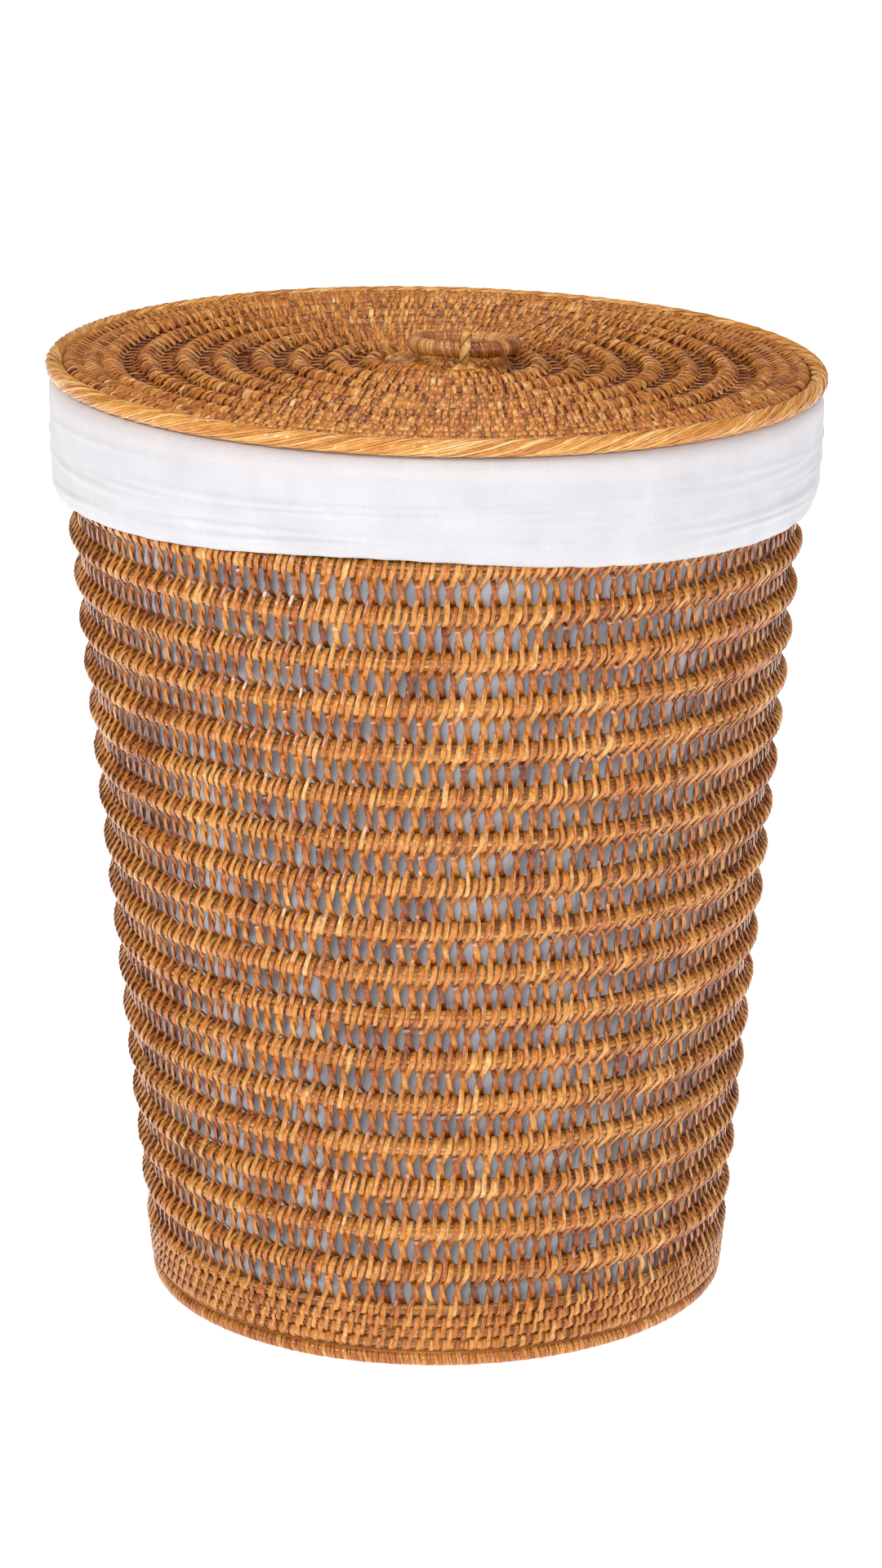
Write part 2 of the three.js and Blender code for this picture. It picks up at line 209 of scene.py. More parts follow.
def piece(name, parts, material, body, nodes=(), sharp=38):
    """A mesh piece that rides on a body and stands for CAD nodes."""
    points, quads, attributes = joined(parts) if isinstance(parts, list) else parts
    mesh = bpy.data.meshes.new(name)
    mesh.vertices.add(len(points))
    mesh.vertices.foreach_set("co", points.astype(np.float32).ravel())
    mesh.loops.add(quads.size)
    mesh.loops.foreach_set("vertex_index", quads.astype(np.int32).ravel())
    mesh.polygons.add(len(quads))
    mesh.polygons.foreach_set("loop_start", np.arange(0, quads.size, 4, dtype=np.int32))
    for key, values in attributes.items():
        is_vector = values.ndim == 2
        layer = mesh.attributes.new(key, "FLOAT_VECTOR" if is_vector else "FLOAT", "POINT")
        layer.data.foreach_set("vector" if is_vector else "value", values.astype(np.float32).ravel())
    mesh.update(calc_edges=True)
    mesh.shade_smooth()
    mesh.set_sharp_from_angle(angle=math.radians(sharp))
    obj = bpy.data.objects.new(name, mesh)
    bpy.context.scene.collection.objects.link(obj)
    obj.data.materials.append(material)
    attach(obj, body)
    if nodes:
        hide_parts(*nodes)
    return obj


# ---------------- coils and what laces them
class Coil:
    """A coil of the weave: where its centre is at each angle, and how thick its bundle of reeds is."""

    def __init__(self, radius_at, height_at, core, on_lid=False):
        self.radius_at, self.height_at, self.core, self.on_lid = radius_at, height_at, core, on_lid

    def centre(self, angle):
        """Distance from the basket's axis, and height."""
        return np.stack([self.radius_at(angle), self.height_at(angle)], -1)


def round_axis(angle, plane, on_lid):
    """Points from their angles and their (distance, height)."""
    x, y = plane[..., 0] * np.cos(angle), plane[..., 0] * np.sin(angle)
    points = np.stack([x, y, plane[..., 1]], -1)
    return tilted(points) if on_lid else points


def outward(angle):
    """Directions from the basket's axis."""
    return np.stack([np.cos(angle), np.sin(angle), np.zeros_like(angle)], -1)


def tangent(angle, direction=1):
    """Directions round the basket."""
    return direction * np.stack([-np.sin(angle), np.cos(angle), np.zeros_like(angle)], -1)


def steps_between(knots, counts):
    """Smooth points through knots (strands, knots, values), a given count of steps to each stretch."""
    before = np.concatenate([2 * knots[:, :1] - knots[:, 1:2], knots[:, :-1]], 1)
    after = np.concatenate([knots[:, 1:], 2 * knots[:, -1:] - knots[:, -2:-1]], 1)
    slope = (after - before) / 2
    made = []
    for i, count in enumerate(counts):
        t = (np.arange(count) / count)[None, :, None]
        p0, p1, m0, m1 = (a[:, None] for a in (knots[:, i], knots[:, i + 1], slope[:, i], slope[:, i + 1]))
        made.append((2 * t**3 - 3 * t**2 + 1) * p0 + (t**3 - 2 * t**2 + t) * m0
                    + (3 * t**2 - 2 * t**3) * p1 + (t**3 - t**2) * m1)
    made.append(knots[:, -1:])
    return np.concatenate(made, 1)


def over_coils(lower, upper, angle, knots, counts, width, thickness, tones, direction=1, roll=None):
    """Strips from one coil to the next. A knot is (which, turn, lift, shift): 'upper' or 'lower' and
    degrees round that coil, or 'between' and a share of the way up. lift is off the surface, shift is along
    the coils, and each may have a value for each strip. width has a value for each knot or each step."""
    low, high = lower.centre(angle), upper.centre(angle)
    up = (high - low) / np.linalg.norm(high - low, axis=-1, keepdims=True)
    out = np.stack([up[:, 1], -up[:, 0]], -1)
    if lower.on_lid:
        out = -out
    placed = []
    for which, turn, lift, shift in knots:
        turn, lift, shift = (np.broadcast_to(np.asarray(v, float), angle.shape) for v in (turn, lift, shift))
        if which == "between":
            spot = low + (high - low) * turn[:, None] + out * lift[:, None]
        else:
            centre, core = (high, upper.core) if which == "upper" else (low, lower.core)
            reach = (core + CANE / 2 + lift)[:, None]
            around = np.radians(turn)
            spot = centre + reach * (out * np.cos(around)[:, None] + up * np.sin(around)[:, None])
        placed.append(np.concatenate([spot, shift[:, None]], -1))
    line = steps_between(np.stack(placed, 1), counts)
    middle = (low[:, 0] + high[:, 0]) / 2
    line_angle = angle[:, None] + direction * line[..., 2] / middle[:, None]
    paths = round_axis(line_angle, line[..., :2], upper.on_lid)
    sides = tangent(line_angle, direction)
    wide = np.asarray(width, float)
    if wide.ndim == 1:
        wide = np.interp(np.arange(line.shape[1]), np.cumsum([0] + list(counts)), wide)[None]
        wide = wide * random.uniform(0.86, 1.14, (len(angle), 1))
    return strips(paths, sides, wide, thickness, tones, roll=roll)


def reeds(coil, start, end, steps, count, closed=False):
    """The bundle of reeds inside a coil, with a slow twist."""
    angle = np.linspace(start, end, steps, endpoint=not closed)
    paths = round_axis(angle, coil.centre(angle), coil.on_lid)[None]
    section = reed_section(count)
    tones = np.repeat(random.uniform(0.1, 0.9, count), len(section) // count)
    tones = np.clip(tones[None, None] + 0.15 * np.sin(7 * angle)[None, :, None], 0, 1)
    twist = 0.5 * np.sin(2 * angle + random.uniform(0, 6)) + random.uniform(0, 6)
    sides = outward(angle)[None]
    return strips(paths, sides, 2 * coil.core, coil.core, tones, section, closed, twist[None])


def round_reeds(coil, steps, count):
    """The bundle of reeds inside a coil that closes on itself."""
    return reeds(coil, 0, TURN, steps, count, closed=True)


def evenly(radius, spacing, offset=0.5):
    """Angles of evenly spaced stitches round a coil."""
    count = round(TURN * radius / spacing)
    return TURN * (np.arange(count) + offset) / count


def strand_tones(base, knots, counts, between):
    """A tone for each step of each strand: darker where it runs between the coils, as painted shade in the
    gap behind them.
    """
    places = np.cumsum([0] + list(counts))
    gap_shade = [between if which == "between" else 0.0 for which, *_ in knots]
    along = np.interp(np.arange(places[-1] + 1), places, gap_shade)
    return np.clip(base[:, None] - along[None], 0, 1)


# The two strips of an open stitch, as knots from the upper coil to the lower: which, turn, lift and shift as
# above, and the strip's width, with lengths in millimetres.
LIGHT_STRIP = [
    ("upper", 140, 0, 6.6, 3.4), ("upper", 90, 0.2, 6.1, 3.8), ("upper", 40, 0.3, 5.5, 3.9),
    ("upper", 0, 0.3, 4.7, 3.7), ("upper", -54, 0.2, 3.2, 3.4),
    ("between", 0.64, -0.1, 1.5, 3.1), ("between", 0.5, -0.5, 0.1, 2.9), ("between", 0.36, -0.1, -1.1, 2.9),
    ("lower", 54, 0.2, -1.9, 3.0), ("lower", 0, 0.2, -2.7, 3.3), ("lower", -45, 0.2, -3.5, 3.5),
    ("lower", -90, 0, -4.2, 3.4), ("lower", -140, -0.1, -4.7, 3.0)]
DARK_STRIP = [
    ("upper", 140, 0.7, -3.4, 3.2), ("upper", 185, 0.7, -2.3, 3.4), ("upper", 232, 0.4, -1.5, 3.5),
    ("between", 0.64, 0.4, -0.7, 3.5), ("between", 0.5, 0.8, 0.1, 3.4), ("between", 0.36, 0.4, 0.9, 3.4),
    ("lower", 128, 0.4, 2.1, 3.3), ("lower", 180, 0.7, 2.9, 3.2), ("lower", 218, 0.7, 3.7, 3.0)]
LIGHT_STEPS = [2] * 12  # steps from each knot to the next
DARK_STEPS = [3, 2, 2, 2, 2, 2, 3, 2]
LIGHT_TONE, DARK_TONE = 0.55, 0.38


def crossing_strands(lower, upper, angle, scale, direction=1, depth=1.0):
    """The open weave between two coils: a light strip in front of both, and a darker one behind them that
    comes forward where the two cross. depth is how much the two give way to each other there."""
    count = len(angle)
    size = scale * MM

    def jitter(spread):
        return random.normal(0, spread, count) * size

    def knots(strip, angle_spread, ease):
        """The strip's knots for every stitch. The knots next to the gap vary in angle too, and follow the
        sideways wander by the share ease."""
        aside = {"upper": jitter(0.5) + row, "between": shared, "lower": jitter(0.5) + row}
        loose = {which: random.normal(0, angle_spread, count) for which in ("upper", "lower")}
        kinds = [knot[0] for knot in strip]
        beside_gap = (kinds.index("between") - 1, kinds.index("lower"))
        made = []
        for i, (which, turn, lift, shift, _) in enumerate(strip):
            if which == "between":
                lift = lift * depth
            follow = 1.0
            if i in beside_gap:
                turn = turn + loose[which]
                follow = ease
            made.append((which, turn, lift * MM, shift * size + aside[which] * follow))
        return made

    def widths(strip, counts):
        knot_widths = [knot[-1] * size for knot in strip]
        wide = np.interp(np.arange(sum(counts) + 1), np.cumsum([0] + counts), knot_widths)
        return wide[None] * (broad * random.uniform(0.84, 1.16, count))[:, None]

    broad = 1 + wander(angle, 0.09, 3, 12)
    aged = wander(angle, 0.07, 4, 20)
    row = wander(angle, 0.5, 8, 34) * size
    shared = jitter(0.4) + row

    light = knots(LIGHT_STRIP, 8, 0.7)
    wide = widths(LIGHT_STRIP, LIGHT_STEPS)
    # 0.16 darker where the strip runs between the coils: painted shade in the gap
    tone = strand_tones(random.normal(LIGHT_TONE, 0.1, count) + aged, light, LIGHT_STEPS, 0.16)
    roll = random.normal(0, 0.08, (count, 1)) + 0.18 * np.sin(np.linspace(0, TURN, wide.shape[1]))[None]
    parts = [over_coils(lower, upper, angle, light, LIGHT_STEPS, wide, WRAP, tone, direction, roll)]

    dark = knots(DARK_STRIP, 6, 1.0)
    wide = widths(DARK_STRIP, DARK_STEPS)
    tone = np.clip(random.normal(DARK_TONE, 0.12, count) + aged, 0, 0.9)
    roll = random.normal(0, 0.12, (count, 1)) + math.pi
    parts.append(over_coils(lower, upper, angle, dark, DARK_STEPS, wide, CANE, tone, direction, roll))
    return parts


def close_strips(lower, upper, angle, width, lean, direction=1):
    """The close weave: short strips that each span two touching coils."""
    count = len(angle)
    shift = random.normal(0, 0.22, count) * MM
    slant = lean + random.normal(0, 0.2, count) * MM
    knots = [("upper", 118, -0.2 * MM, shift + slant), ("upper", 70, 0.1 * MM, shift + slant * 0.8),
             ("upper", 0, 0.1 * MM, shift + slant * 0.4), ("between", 0.5, 2.3 * MM, shift),
             ("lower", 0, 0.1 * MM, shift - slant * 0.4), ("lower", -70, 0.1 * MM, shift - slant * 0.8),
             ("lower", -118, -0.2 * MM, shift - slant)]
    wide = width * np.array([0.9, 1, 1, 1, 1, 1, 0.9])
    tone = np.clip(random.normal(0.52, 0.11, count), 0.03, 1)
    return over_coils(lower, upper, angle, knots, [2, 3, 2, 2, 3, 2], wide, CANE, tone, direction)


def bands(centre, out, up, forward, tube, widths, tones, lean=0.8 * MM):
    """Turns of cane round a tube, one at each centre and a little slanted. centre, out, up and forward hold
    the tube's centre and axes at each band."""
    turn = np.linspace(0, TURN, 20, endpoint=False)[None, :, None]
    reach = tube + random.uniform(0, 0.25, (len(centre), 1, 1)) * MM
    paths = centre[:, None] + reach * (np.cos(turn) * out[:, None] - np.sin(turn) * up[:, None])
    slant = lean * random.normal(1, 0.35, (len(centre), 1, 1))
    paths = paths + slant * np.sin(turn) * forward[:, None]
    sides = np.broadcast_to(forward[:, None], paths.shape)
    return strips(paths, sides, np.asarray(widths)[:, None], CANE * 0.8, tones, closed=True)


# ---------------- materials
class Nodes:
    """Short calls for building a material's nodes."""

    def __init__(self, name):
        self.material = bpy.data.materials.new(name)
        self.material.use_nodes = True
        self.tree = self.material.node_tree
        self.shader = self.tree.nodes["Principled BSDF"]

    def node(self, kind, inputs=(), **settings):
        made = self.tree.nodes.new(kind)
        for key, value in settings.items():
            setattr(made, key, value)
        for key, value in dict(inputs).items():
            self.feed(made.inputs[key], value)
        return made

    def feed(self, socket, value):
        if isinstance(value, bpy.types.NodeSocket):
            self.tree.links.new(value, socket)
        else:
            socket.default_value = value

    def attribute(self, name):
        return self.node("ShaderNodeAttribute", attribute_name=name)

    def maths(self, operation, a, b=0.0, clamp=False):
        return self.node("ShaderNodeMath", {0: a, 1: b}, operation=operation, use_clamp=clamp).outputs[0]

    def plus(self, a, b):
        return self.maths("ADD", a, b)

    def times(self, a, b):
        return self.maths("MULTIPLY", a, b)

    def noise(self, vector, scale, detail=3.0, roughness=0.55):
        return self.node("ShaderNodeTexNoise", {"Vector": vector, "Scale": scale, "Detail": detail,
                                               "Roughness": roughness}).outputs["Fac"]

    def stretched(self, vector, scale):
        return self.node("ShaderNodeMapping", {"Vector": vector, "Scale": scale}).outputs["Vector"]

    def ramp(self, value, stops):
        made = self.node("ShaderNodeValToRGB", {"Fac": value})
        elements = made.color_ramp.elements
        while len(elements) < len(stops):
            elements.new(0.5)
        for element, (place, colour) in zip(elements, stops):
            element.position = place
            element.color = (*colour, 1)
        return made.outputs["Color"]

    def mix(self, share, a, b, blend="MIX"):
        made = self.node("ShaderNodeMix", data_type="RGBA", blend_type=blend)
        self.feed(made.inputs["Factor"], share)
        self.feed(made.inputs["A"], a)
        self.feed(made.inputs["B"], b)
        return made.outputs["Result"]

    def even(self, values):
        """Values that are the same all over, set on the shader's own sockets."""
        for name, value in values.items():
            self.shader.inputs[name].default_value = value

    def spread(self, value, low, high):
        """value from 0..1 to low..high."""
        made = self.node("ShaderNodeMapRange", {"Value": value, "To Min": low, "To Max": high})
        return made.outputs["Result"]

    def bump(self, height, strength, distance):
        made = self.node("ShaderNodeBump", {"Height": height, "Strength": strength, "Distance": distance})
        self.feed(self.shader.inputs["Normal"], made.outputs["Normal"])


# Colour of the dark strip edges: dirt, and painted shade where neighbouring strips meet.
EDGE_DIRT_AND_PAINTED_SHADE = (0.1, 0.022, 0.003, 1)
# Colour of the pale flecks: part grain, part painted highlight.
PALE_FLECK_AND_GLINT = (0.86, 0.6, 0.4, 1)
PATCH_SCALE = 38.0  # patches of age, about 25 mm apart


def cane_material(name, stops, roughness=(0.26, 0.46), coat=0.35, streaks=0.9):
    """Varnished cane. Each strip has its tone, with streaks along it, dark edges (dirt, and painted shade
    where strips meet), pale flecks (grain, and painted highlights) and patches of age. grain holds
    millimetres along the strip, -1 to 1 across it, and a number of the strip's own."""
    n = Nodes(name)
    tone = n.attribute("tone").outputs["Fac"]
    grain = n.attribute("grain").outputs["Vector"]
    place = n.node("ShaderNodeTexCoord").outputs["Object"]
    streak = n.noise(n.stretched(grain, (0.09, 3.0, 1.0)), 1.0, 4)
    fine = n.noise(n.stretched(grain, (0.16, 8.0, 1.0)), 1.0, 2)
    patch = n.noise(place, PATCH_SCALE, 3)
    blotch = n.noise(n.stretched(grain, (0.3, 0.7, 1.0)), 1.0, 4, 0.65)
    value = tone
    for texture, strength in ((streak, streaks), (patch, 0.3), (blotch, 1.0)):
        value = n.plus(value, n.times(n.plus(texture, -0.5), strength))
    colour = n.ramp(value, stops)

    across = n.node("ShaderNodeSeparateXYZ", {"Vector": grain}).outputs["Y"]
    # dark edges across the strip: part dirt, part painted shade between neighbouring strips
    edge = n.maths("POWER", n.maths("ABSOLUTE", across), 4.0, clamp=True)
    colour = n.mix(n.times(edge, 0.75), colour, EDGE_DIRT_AND_PAINTED_SHADE)
    line = n.ramp(fine, [(0.34, (0.55, 0.42, 0.32)), (0.48, (1, 1, 1))])
    colour = n.mix(0.6, colour, line, "MULTIPLY")
    # pale flecks along the grain in the colour of highlights: part grain, part painted highlight
    specks = n.noise(n.stretched(grain, (0.5, 2.2, 1.0)), 1.0, 3)
    fleck_and_glint = n.ramp(specks, [(0.62, (0, 0, 0)), (0.72, (0.4, 0.4, 0.4))])
    colour = n.mix(fleck_and_glint, colour, PALE_FLECK_AND_GLINT)

    n.feed(n.shader.inputs["Base Color"], colour)
    n.feed(n.shader.inputs["Roughness"], n.spread(blotch, *roughness))
    n.even({"Coat Weight": coat, "Coat Roughness": 0.14, "Specular IOR Level": 0.34})
    n.bump(n.plus(streak, n.times(fine, 0.4)), 0.6, 0.3 * MM)
    return n.material


THREAD = 0.62  # the cotton's thread spacing, in millimetres
# Painted tint of the cane as if seen through the thin cotton.
PAINTED_SHOW_THROUGH = (0.83, 0.62, 0.52, 1)


def cotton_material(name, shade):
    """Plain-weave cotton with slubs. cloth holds millimetres on the cloth, and warm says how strongly a
    painted tint of the cane beneath, as if seen through the thin cotton, is laid on it."""
    n = Nodes(name)
    cloth = n.attribute("cloth").outputs["Vector"]
    warm = n.attribute("warm").outputs["Fac"]
    parts = n.node("ShaderNodeSeparateXYZ", {"Vector": cloth})
    warp = n.maths("SINE", n.times(parts.outputs["X"], TURN / THREAD))
    weft = n.maths("SINE", n.times(parts.outputs["Y"], TURN / THREAD))
    slub = n.noise(n.stretched(cloth, (0.06, 1.6, 1.0)), 1.0, 3)
    cross = n.noise(n.stretched(cloth, (1.6, 0.06, 1.0)), 1.0, 3)
    soft = n.noise(n.stretched(cloth, (0.03, 0.03, 0.03)), 1.0, 3)
    base = n.ramp(soft, [(0.3, tuple(c * 0.94 for c in shade)), (0.7, tuple(c * 1.05 for c in shade))])
    slubs = n.plus(slub, cross)
    thread = n.ramp(n.times(slubs, 0.5), [(0.35, (0.9, 0.89, 0.9)), (0.6, (1, 1, 1))])
    colour = n.mix(0.7, base, thread, "MULTIPLY")
    colour = n.mix(warm, colour, PAINTED_SHOW_THROUGH)
    n.feed(n.shader.inputs["Base Color"], colour)
    n.feed(n.shader.inputs["Roughness"], n.spread(slub, 0.8, 0.95))
    n.even({"Sheen Weight": 0.25, "Sheen Roughness": 0.5})
    n.bump(n.plus(n.times(n.times(warp, weft), 0.5), slubs), 0.35, 0.18 * MM)
    return n.material


CANE_STOPS = [(0.0, (0.12, 0.018, 0.0005)), (0.3, (0.34, 0.08, 0.002)), (0.55, (0.54, 0.184, 0.015)),
              (0.8, (0.7, 0.33, 0.07)), (1.0, (0.8, 0.54, 0.26))]
REED_STOPS = [(0.0, (0.17, 0.048, 0.004)), (0.5, (0.42, 0.165, 0.028)), (1.0, (0.62, 0.31, 0.09))]
ROPE_STOPS = [(0.0, (0.32, 0.085, 0.006)), (0.35, (0.54, 0.2, 0.024)), (0.7, (0.69, 0.32, 0.062)),
              (1.0, (0.8, 0.5, 0.2))]
HANDLE_STOPS = [(0.0, (0.24, 0.06, 0.008)), (0.5, (0.48, 0.175, 0.03)), (1.0, (0.68, 0.36, 0.12))]
cane = cane_material("cane", CANE_STOPS)
reed = cane_material("reed", REED_STOPS, (0.4, 0.6), 0.1)
rope_cane = cane_material("rope_cane", ROPE_STOPS, (0.32, 0.5), 0.25)
handle_cane = cane_material("handle_cane", HANDLE_STOPS, (0.3, 0.45), 0.3, 0.6)
cotton = cotton_material("cotton", (0.55, 0.546, 0.57))
# The bag's copy of the cuff's cotton, painted lighter so that it stays bright where the basket shades it.
bag_cotton_painted_lighter = cotton_material("bag_cotton_painted_lighter", (0.69, 0.695, 0.745))


def reed_piece(name, part, body, node):
    piece(f"{name}_reeds", part, reed, body, [node])


def cane_piece(name, part, body, node):
    piece(name, part, cane, body, [node])


# ---------------- the wall
def level(value):
    """The same value at every angle."""
    return lambda angle: np.full_like(angle, value)


def spiral_height(turn):
    """Height of an open turn of the coil. The lowest turn drops at its end to meet the close rows."""
    def height(angle):
        rise = LOWEST_OPEN_ROW + COIL_PITCH * (turn - angle / TURN) + UNEVENNESS * np.sin(angle)
        if turn == 0:
            t = np.clip((angle - RUN_IN_FROM) / (math.pi - RUN_IN_FROM), 0, 1)
            rise = rise - RUN_IN * t * t * (3 - 2 * t)
        return rise
    return height


def dense_height(row):
    """Height of a close row, from 1 for the lowest."""
    return lambda angle: DENSE_TOP_ROW - DENSE_PITCH * (DENSE_ROWS - row + angle / TURN) - DENSE_DROP


def rim_height(angle):
    return RIM_HEIGHT - math.tan(TOP_TILT) * RIM_RADIUS * np.cos(angle)


def wall_coil(height_at, inset, core):
    """A coil of the wall, inset from the wall's outside. height_at takes the angle from the front."""
    def radius(angle):
        return wall_radius(height_at(angle)) - inset

    return Coil(lambda a: radius(a - FRONT), lambda a: height_at(a - FRONT), core)


open_coils = [wall_coil(spiral_height(turn), 5.4 * MM, COIL_CORE) for turn in range(OPEN_TURNS)]
dense_coils = [wall_coil(dense_height(row + 1), 3.6 * MM, DENSE_CORE) for row in range(DENSE_ROWS)]
rim = Coil(level(RIM_RADIUS), rim_height, RIM_CORE)
behind_foot = Coil(level(FOOT_RADIUS - 2 * MM), level(7 * MM), 2 * MM)  # what the lowest row is laced to


def stitch_angles(radius, row):
    """Where a row's stitches are. The wall widens upwards, so that higher rows have more of them."""
    count = round(TURN * radius / STITCH)
    turns = (np.arange(count) + 0.5 + row * STITCH_DRIFT) / count
    return FRONT + TURN * ((turns + 0.5) % 1 - 0.5)


def wall_reeds(coil, count):
    """One turn of reeds, joined at the back."""
    return reeds(coil, FRONT - math.pi, FRONT + math.pi, WALL_STEPS, count)


def build_open_rows():
    for turn, coil in enumerate(open_coils):
        below = open_coils[turn - 1] if turn else dense_coils[-1]
        angle = stitch_angles(wall_radius(LOWEST_OPEN_ROW + COIL_PITCH * (turn - 0.5)), turn)
        name = f"wall_turn_{turn + 1:02d}"
        reed_piece(name, wall_reeds(coil, 9), "basket", name)
        lacing = crossing_strands(below, coil, angle, WALL_STRIPS)
        cane_piece(f"{name}_lacing", lacing, "basket", "wall_lacing_open")


def build_dense_rows():
    def filler_height(angle):
        return (FOOT_HEIGHT + FOOT_CORE + dense_coils[0].height_at(angle) - DENSE_CORE) / 2

    filler = Coil(level(FOOT_RADIUS + 0.4 * MM), filler_height, 2.4 * MM)
    reed_piece("wall_dense_start", wall_reeds(filler, 5), "basket", "wall_dense_row_1")
    stitches = FRONT - math.pi + evenly(wall_radius(DENSE_TOP_ROW), DENSE_STITCH)
    for row, coil in enumerate(dense_coils):
        name = f"wall_dense_row_{row + 1}"
        reed_piece(name, wall_reeds(coil, 7), "basket", name)
        below = dense_coils[row - 1] if row else behind_foot
        angle = stitches + (row % 2) * math.pi / len(stitches)
        lacing = close_strips(below, coil, angle, CLOSE_STRIP, 1.5 * MM)
        cane_piece(f"{name}_lacing", lacing, "basket", "wall_lacing_dense")


def build_rim_lacing():
    lacing = crossing_strands(open_coils[-1], rim, stitch_angles(RIM_RADIUS, OPEN_TURNS), WALL_STRIPS)
    cane_piece("rim_lacing", lacing, "basket", "wall_lacing_open")


def build_hoop(name, coil, band_width, body, core_node, binding_node):
    """A hoop of reeds, bound all round with turns of cane of uneven width."""
    bundle = Coil(coil.radius_at, coil.height_at, coil.core - CANE / 2, coil.on_lid)
    reed_piece(name, round_reeds(bundle, 160, 6), body, core_node)
    radius = float(coil.radius_at(np.zeros(1))[0])
    count = int(TURN * radius / band_width)
    edges = np.cumsum(random.uniform(0.4, 1.5, count))
    angle = TURN * edges / (edges[-1] + 0.8)
    widths = np.diff(np.append(angle, angle[0] + TURN)) * radius
    middle = angle + widths / radius / 2
    centre = round_axis(middle, coil.centre(middle), coil.on_lid)
    out = outward(middle)
    up = np.broadcast_to([0.0, 0.0, 1.0], out.shape)
    tone = np.clip(random.normal(0.5, 0.1, count) + wander(middle, 0.06, 3, 14), 0, 1)
    rings = bands(centre, out, up, tangent(middle), coil.core + CANE / 2, widths * 0.96, tone)
    cane_piece(f"{name}_binding_cane", rings, body, binding_node)


# ---------------- the base
def flat_coil(radius, height, core, on_lid=False, uneven=0.0):
    """A round coil that lies flat, a little out of true."""
    phase = random.uniform(0, TURN, 4)

    def radius_at(angle):
        waves = sum(np.cos((i + 2) * angle + phase[i]) for i in range(4)) / 4
        return radius + uneven * waves

    return Coil(radius_at, level(height), core, on_lid)


def base_coil(turn):
    return Coil(lambda a: BASE_START + BASE_PITCH * (turn + a / TURN), level(BASE_MIDDLE), BASE_CORE)


def build_base():
    coils = [base_coil(turn) for turn in range(BASE_TURNS)]
    edge = [flat_coil(radius, BASE_MIDDLE, BASE_EDGE_CORE) for radius in BASE_EDGE_RINGS]
    parts = [reeds(coil, 0, TURN, 20 + 16 * turn, 6) for turn, coil in enumerate(coils)]
    reed_piece("base_coil", parts, "basket", "base_coil")
    reed_piece("base_edge", [round_reeds(coil, 128, 6) for coil in edge], "basket", "base_edge_coil")
    parts = []
    for turn, (inner, outer) in enumerate(zip(coils, coils[1:] + edge[:1])):
        angle = evenly((turn + 1) * BASE_PITCH, BASE_STITCH)
        parts += crossing_strands(inner, outer, angle, 0.95, depth=-0.5)
    cane_piece("base_lacing_cane", parts, "basket", "base_lacing")
    angle = TURN * (np.arange(BASE_EDGE_STITCHES) + 0.5) / BASE_EDGE_STITCHES
    parts = [close_strips(inner, outer, angle, CLOSE_STRIP, 0.5 * MM)
             for inner, outer in ((edge[0], edge[1]), (edge[1], dense_coils[0]))]
    cane_piece("base_edge_lacing_cane", parts, "basket", "base_lacing")


# ---------------- the lid
def lid_coil(radius, core=LID_CORE):
    return flat_coil(radius, LID_HEIGHT, core, True, 0.7 * MM)


def wraps(coil, radius, spacing, width):
    """Turns of cane that cover a lid coil between its stitches, each a little slanted."""
    angle = evenly(radius, spacing)
    angle = angle + random.normal(0, 0.2, len(angle)) * spacing / radius
    shift = random.normal(0, 0.3, len(angle)) * MM
    lean = 2.2 * MM + random.normal(0, 1.0, len(angle)) * MM
    knots = [("upper", degrees, 0.1 * MM, shift + lean * (0.5 - i / 6))
             for i, degrees in enumerate(np.linspace(200, -200, 7))]
    tone = np.clip(random.normal(0.5, 0.15, len(angle)), 0.02, 1)
    outside = Coil(lambda a: coil.radius_at(a) + 1 * MM, coil.height_at, coil.core, coil.on_lid)
    return over_coils(coil, outside, angle, knots, [2] * 6, width * np.ones(7), CANE, tone, -1)


def lid_fans(inner, outer, count, swirl):
    """The woven centre: strips that fan out from the small hole, over and under three thin coils."""
    share = np.linspace(0, 1, 17)
    radius = inner + (outer - inner) * share
    angle = TURN * (np.arange(count)[:, None] + 0.5) / count + swirl * share[None] ** 1.3
    angle = angle + random.normal(0, 0.02, (count, 1))
    parts = []
    for face in (1, -1):
        hump = 0.9 * MM * np.cos(len(LID_CENTRE_RINGS) * TURN * share)
        drop = 3.5 * MM * np.clip(np.abs(share - 0.5) * 2 - 0.86, 0, 1) / 0.14
        height = LID_HEIGHT + face * (3.4 * MM + hump - drop) + random.normal(0, 0.15, (count, 1)) * MM
        plane = np.stack([np.broadcast_to(radius, angle.shape), height], -1)
        half_step = 0 if face > 0 else math.pi / count
        paths = round_axis(angle + half_step, plane, True)
        width = np.broadcast_to(TURN * radius / count * 1.06, angle.shape)
        tone = np.clip(random.normal(0.55, 0.2, count), 0, 1)
        parts.append(strips(paths, face * tangent(angle, -1), width, CANE, tone))
    return parts


def rope_strands(count=17, windings=15):
    """The lid's border: long strands laid round a hoop at a slant."""
    angle = np.linspace(0, TURN, windings * 16, endpoint=False)[None]
    strand = np.arange(count)[:, None]
    turn = windings * angle + TURN * strand / count
    turn = turn + 0.3 * np.sin(5 * angle) + 0.2 * np.sin(11 * angle + 1)
    reach = LID_ROPE_TUBE - 0.5 * MM + 0.35 * MM * np.sin(3 * turn + strand * 2)
    plane = np.stack([LID_ROPE_RADIUS + reach * np.cos(turn), LID_HEIGHT + reach * np.sin(turn)], -1)
    paths = round_axis(angle, plane, True)
    sides = -np.sin(turn)[..., None] * outward(angle) + np.cos(turn)[..., None] * np.array([0, 0, 1.0])
    width = 2.0 * MM * (1 + 0.2 * np.sin(7 * angle + strand * 1.7))
    tone = 0.55 + random.normal(0, 0.16, (count, 1))
    tone = np.clip(tone + 0.2 * np.sin(5 * angle + random.uniform(0, 6, (count, 1))), 0.05, 1)
    section = six_sided(0.1, 0.6)
    tone = tone[..., None] * np.ones(len(section))
    return strips(paths, sides, width, 1.1 * MM, tone, section, closed=True)


